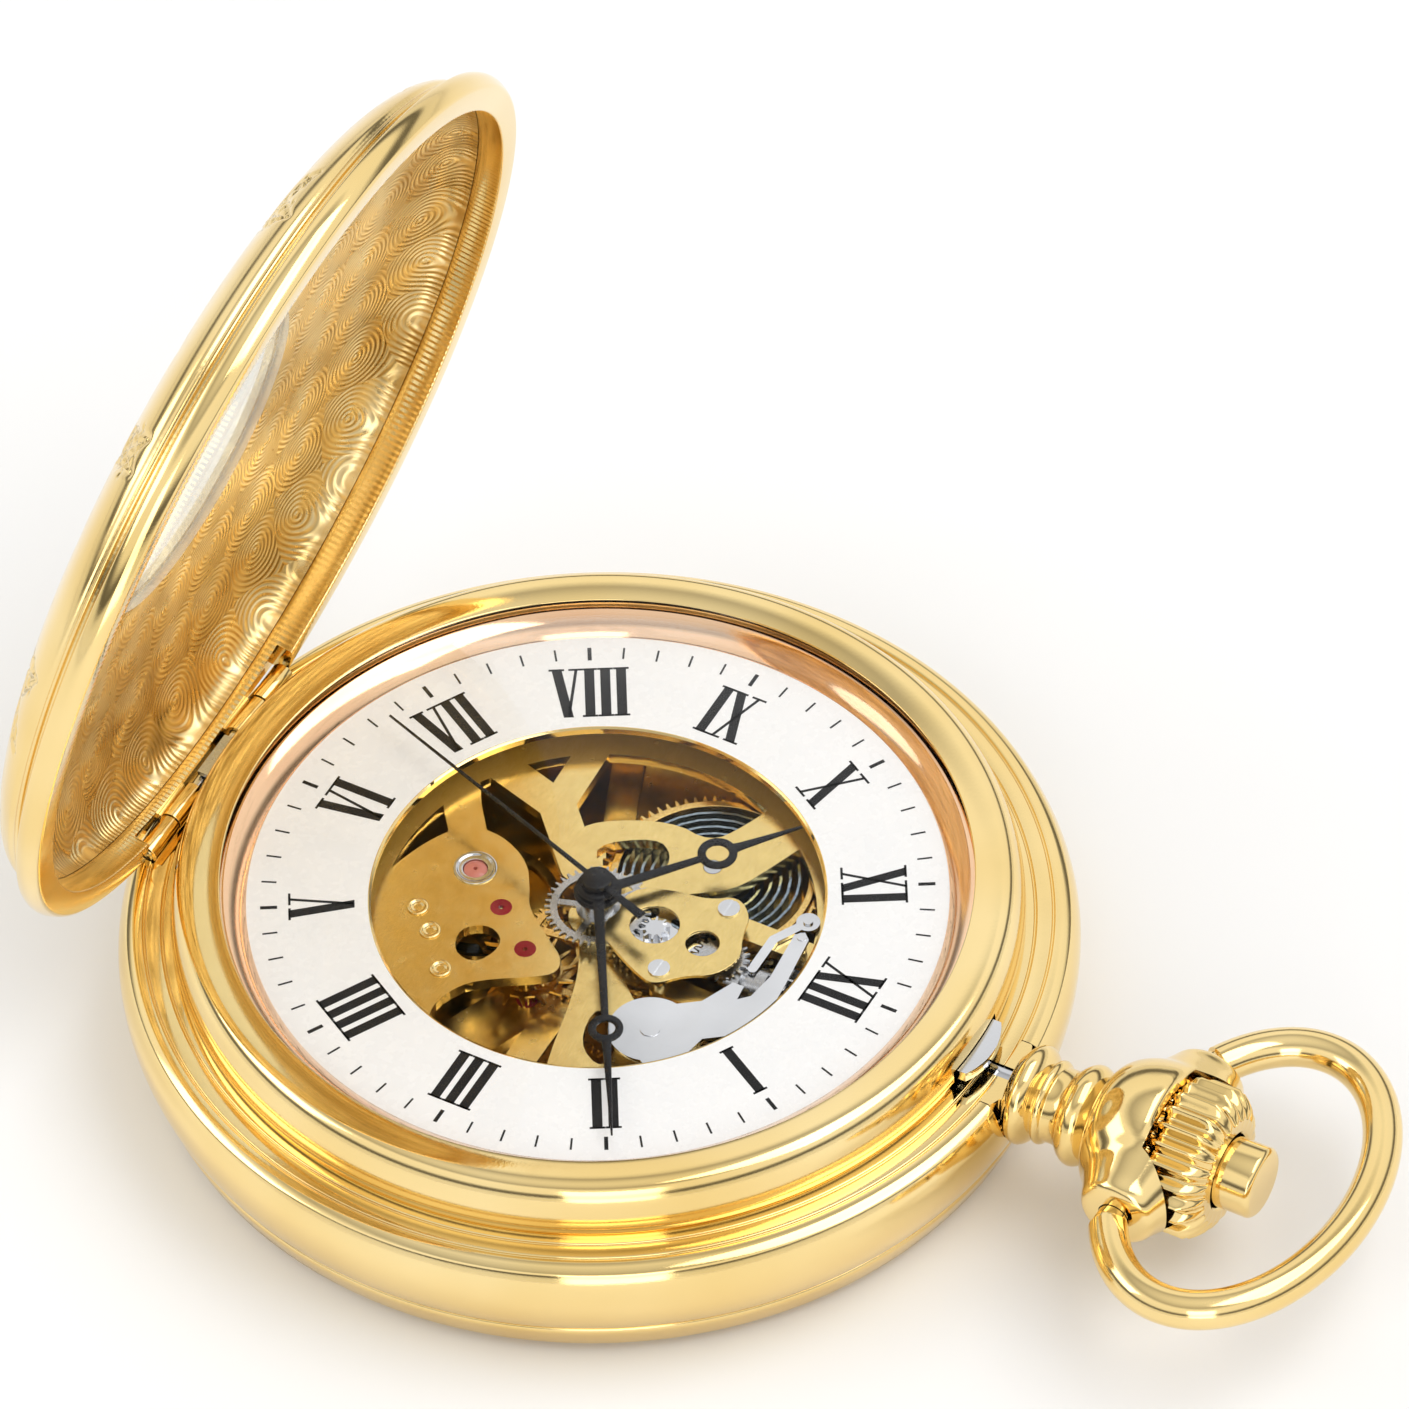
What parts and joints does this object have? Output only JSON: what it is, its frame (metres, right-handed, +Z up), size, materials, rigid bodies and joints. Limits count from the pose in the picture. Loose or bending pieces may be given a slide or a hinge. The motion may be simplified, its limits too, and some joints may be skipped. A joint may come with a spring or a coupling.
{
  "type": "pocket watch",
  "caption": "Gold demi-hunter pocket watch with a hinged engraved lid, round lid window, open-centre Roman dial, visible hand-wound movement, fluted crown with push button and swinging bow",
  "frame": {"origin": "middle of the flat part of the back, on the plane the watch lies on", "axes": "+Z up through the dial, +Y toward the pendant and twelve, +X toward three"},
  "size_m": [0.048, 0.0685, 0.0517],
  "materials": {
    "gold_polish": "polished gold plate",
    "gold_engraved": "engraved and polished gold plate",
    "gold_movement": "gilt, fine straight grain",
    "rose_gold": "polished pink gold",
    "steel_polish": "polished steel",
    "steel_satin": "satin steel",
    "steel_blue": "heat blued steel",
    "ruby": "polished synthetic ruby",
    "crystal_glass": "clear mineral glass",
    "enamel_white": "gloss white enamel, black numerals and ticks",
    "hand_black": "gloss black lacquer"
  },
  "bodies": {
    "case": {"case_body": "gold_polish", "back_cover": "gold_engraved", "bezel": "gold_polish", "crystal": "crystal_glass", "rehaut_ring": "rose_gold", "case_knuckles": "gold_polish", "pendant": "gold_polish", "hinge_pin": "steel_polish", "movement_ring": "gold_movement", "case_screws": "steel_polish", "dial": "enamel_white", "main_plate": "gold_movement", "jewels": "ruby", "balance_jewels": "ruby", "works_cover": "gold_movement", "works_screws": "steel_polish", "lever_spring": "steel_polish", "barrel_bridge": "gold_movement", "centre_bridge": "gold_movement", "train_bridge": "gold_movement", "bridge_screws": "steel_blue", "pallet_cock": "gold_movement", "balance_cock": "gold_movement"},
    "lid": {"lid_rim": "gold_polish", "lid_cover": "gold_engraved", "lid_window": "crystal_glass", "lid_knuckles": "gold_polish"},
    "bow": {"bow": "gold_polish"},
    "winding_pinion": {"winding_pinion": "steel_satin"},
    "crown": {"crown": "gold_polish", "winding_stem": "steel_polish", "button_spring": "steel_polish"},
    "crown_button": {"crown_button": "gold_polish"},
    "clutch": {"clutch": "steel_satin"},
    "lock_spring": {"lock_spring": "steel_polish"},
    "lift_spring": {"lift_spring": "steel_satin"},
    "setting_lever": {"setting_lever": "steel_polish"},
    "yoke": {"yoke": "steel_polish"},
    "crown_wheel": {"crown_wheel": "steel_satin"},
    "transfer_wheel": {"transfer_wheel": "steel_satin"},
    "ratchet_wheel": {"ratchet_wheel": "steel_satin", "barrel_arbor": "steel_polish"},
    "click": {"click": "steel_polish"},
    "barrel": {"barrel": "gold_movement", "mainspring": "steel_blue"},
    "minute_hand": {"minute_hand": "hand_black", "cannon_pinion": "steel_satin", "centre_wheel": "gold_movement"},
    "hour_hand": {"hour_hand": "hand_black", "hour_wheel": "steel_satin"},
    "seconds_hand": {"seconds_hand": "hand_black", "fourth_wheel": "gold_movement"},
    "minute_wheel": {"minute_wheel": "steel_polish"},
    "setting_wheel": {"setting_wheel": "steel_satin"},
    "third_wheel": {"third_wheel": "gold_movement"},
    "escape_wheel": {"escape_wheel": "gold_movement"},
    "pallet_fork": {"pallet_fork": "steel_polish"},
    "balance": {"balance_wheel": "gold_movement", "hairspring": "steel_blue"},
    "regulator": {"regulator": "steel_polish"}
  },
  "joints": [
    {"name": "lid_open", "type": "hinge", "parent": "case", "child": "lid", "pos_m": [0, -0.0219, 0.0072], "axis": [1, 0, 0], "range_deg": [-78, 0], "stiffness_Nm_per_rad": 0.003, "springref_deg": 28.65},
    {"name": "bow_swing", "type": "hinge", "parent": "case", "child": "bow", "pos_m": [0, 0.0316, 0.0061], "axis": [1, 0, 0], "range_deg": [-95, 95]},
    {"name": "crown_turn", "type": "hinge", "parent": "case", "child": "winding_pinion", "pos_m": [0, 0.0107, 0.0061], "axis": [0, 1, 0], "continuous": true},
    {"name": "crown_pull", "type": "slide", "parent": "winding_pinion", "child": "crown", "axis": [0, 1, 0], "range_m": [0, 0.0008]},
    {"name": "button_press", "type": "slide", "parent": "crown", "child": "crown_button", "axis": [0, -1, 0], "range_m": [0, 0.0009], "stiffness_N_per_m": 600, "springref_m": -0.0004},
    {"name": "clutch_slide", "type": "slide", "parent": "winding_pinion", "child": "clutch", "axis": [0, -1, 0], "range_m": [0, 0.0005]},
    {"name": "lock_spring_flex", "type": "slide", "parent": "case", "child": "lock_spring", "axis": [0, -1, 0], "range_m": [0, 0.00056]},
    {"name": "lift_spring_flex", "type": "slide", "parent": "case", "child": "lift_spring", "axis": [0, 1, 0], "range_m": [0, 0.0004]},
    {"name": "setting_lever_swing", "type": "hinge", "parent": "case", "child": "setting_lever", "pos_m": [-0.0034, 0.0126, 0.0074], "axis": [0, 0, 1], "range_deg": [0, 17.5]},
    {"name": "yoke_swing", "type": "hinge", "parent": "case", "child": "yoke", "pos_m": [-0.0042, 0.0096, 0.0071], "axis": [0, 0, 1], "range_deg": [-7.5, 0]},
    {"name": "crown_wheel_turn", "type": "hinge", "parent": "case", "child": "crown_wheel", "pos_m": [0, 0.00895, 0.0044], "axis": [0, 0, 1], "continuous": true},
    {"name": "transfer_wheel_turn", "type": "hinge", "parent": "case", "child": "transfer_wheel", "pos_m": [-0.00261, 0.00637, 0.0044], "axis": [0, 0, 1], "continuous": true},
    {"name": "ratchet_wheel_turn", "type": "hinge", "parent": "case", "child": "ratchet_wheel", "pos_m": [-0.0055, 0.0035, 0.0044], "axis": [0, 0, 1], "continuous": true},
    {"name": "click_swing", "type": "hinge", "parent": "case", "child": "click", "pos_m": [-0.00973, 0.00275, 0.0044], "axis": [0, 0, 1], "range_deg": [0, 12], "stiffness_Nm_per_rad": 0.00002, "springref_deg": -5.73},
    {"name": "barrel_turn", "type": "hinge", "parent": "case", "child": "barrel", "pos_m": [-0.0055, 0.0035, 0.0054], "axis": [0, 0, 1], "continuous": true},
    {"name": "minute_turn", "type": "hinge", "parent": "case", "child": "minute_hand", "pos_m": [0, 0, 0.0054], "axis": [0, 0, 1], "continuous": true},
    {"name": "hour_turn", "type": "hinge", "parent": "case", "child": "hour_hand", "pos_m": [0, 0, 0.0074], "axis": [0, 0, 1], "continuous": true},
    {"name": "seconds_turn", "type": "hinge", "parent": "case", "child": "seconds_hand", "pos_m": [0, 0, 0.0044], "axis": [0, 0, 1], "continuous": true},
    {"name": "minute_wheel_turn", "type": "hinge", "parent": "case", "child": "minute_wheel", "pos_m": [0, 0.0032, 0.0074], "axis": [0, 0, 1], "continuous": true},
    {"name": "setting_wheel_turn", "type": "hinge", "parent": "case", "child": "setting_wheel", "pos_m": [0, 0.00693, 0.0074], "axis": [0, 0, 1], "continuous": true},
    {"name": "third_wheel_turn", "type": "hinge", "parent": "case", "child": "third_wheel", "pos_m": [0.00205, 0.00378, 0.0044], "axis": [0, 0, 1], "continuous": true},
    {"name": "escape_wheel_turn", "type": "hinge", "parent": "case", "child": "escape_wheel", "pos_m": [0.0036, -0.0022, 0.0044], "axis": [0, 0, 1], "continuous": true},
    {"name": "pallet_fork_rock", "type": "hinge", "parent": "case", "child": "pallet_fork", "pos_m": [0.0017, -0.0046, 0.0054], "axis": [0, 0, 1], "range_deg": [-4, 4]},
    {"name": "balance_swing", "type": "hinge", "parent": "case", "child": "balance", "pos_m": [0, -0.007, 0.0044], "axis": [0, 0, 1], "range_deg": [-25, 25], "stiffness_Nm_per_rad": 0.000001},
    {"name": "regulator_turn", "type": "hinge", "parent": "case", "child": "regulator", "pos_m": [0, -0.007, 0.0019], "axis": [0, 0, 1], "range_deg": [-15, 15]}
  ],
  "couplings": [
    {"joint": "minute_turn", "follows": "seconds_turn", "ratio": 0.016667},
    {"joint": "hour_turn", "follows": "seconds_turn", "ratio": 0.0013889},
    {"joint": "minute_wheel_turn", "follows": "seconds_turn", "ratio": -0.0055556},
    {"joint": "setting_wheel_turn", "follows": "seconds_turn", "ratio": 0.01},
    {"joint": "third_wheel_turn", "follows": "seconds_turn", "ratio": -0.13333},
    {"joint": "barrel_turn", "follows": "seconds_turn", "ratio": -0.0027778},
    {"joint": "escape_wheel_turn", "follows": "seconds_turn", "ratio": -10},
    {"joint": "crown_wheel_turn", "follows": "crown_turn", "ratio": 0.8},
    {"joint": "transfer_wheel_turn", "follows": "crown_turn", "ratio": -1},
    {"joint": "ratchet_wheel_turn", "follows": "crown_turn", "ratio": 0.66667},
    {"joint": "clutch_slide", "follows": "crown_pull", "ratio": 0.6},
    {"joint": "setting_lever_swing", "follows": "crown_pull", "rad_per_m": 366.52},
    {"joint": "yoke_swing", "follows": "crown_pull", "rad_per_m": -150.53},
    {"joint": "lock_spring_flex", "follows": "button_press", "ratio": 0.61111},
    {"joint": "lift_spring_flex", "follows": "lid_open", "m_per_rad": -0.00027913}
  ]
}
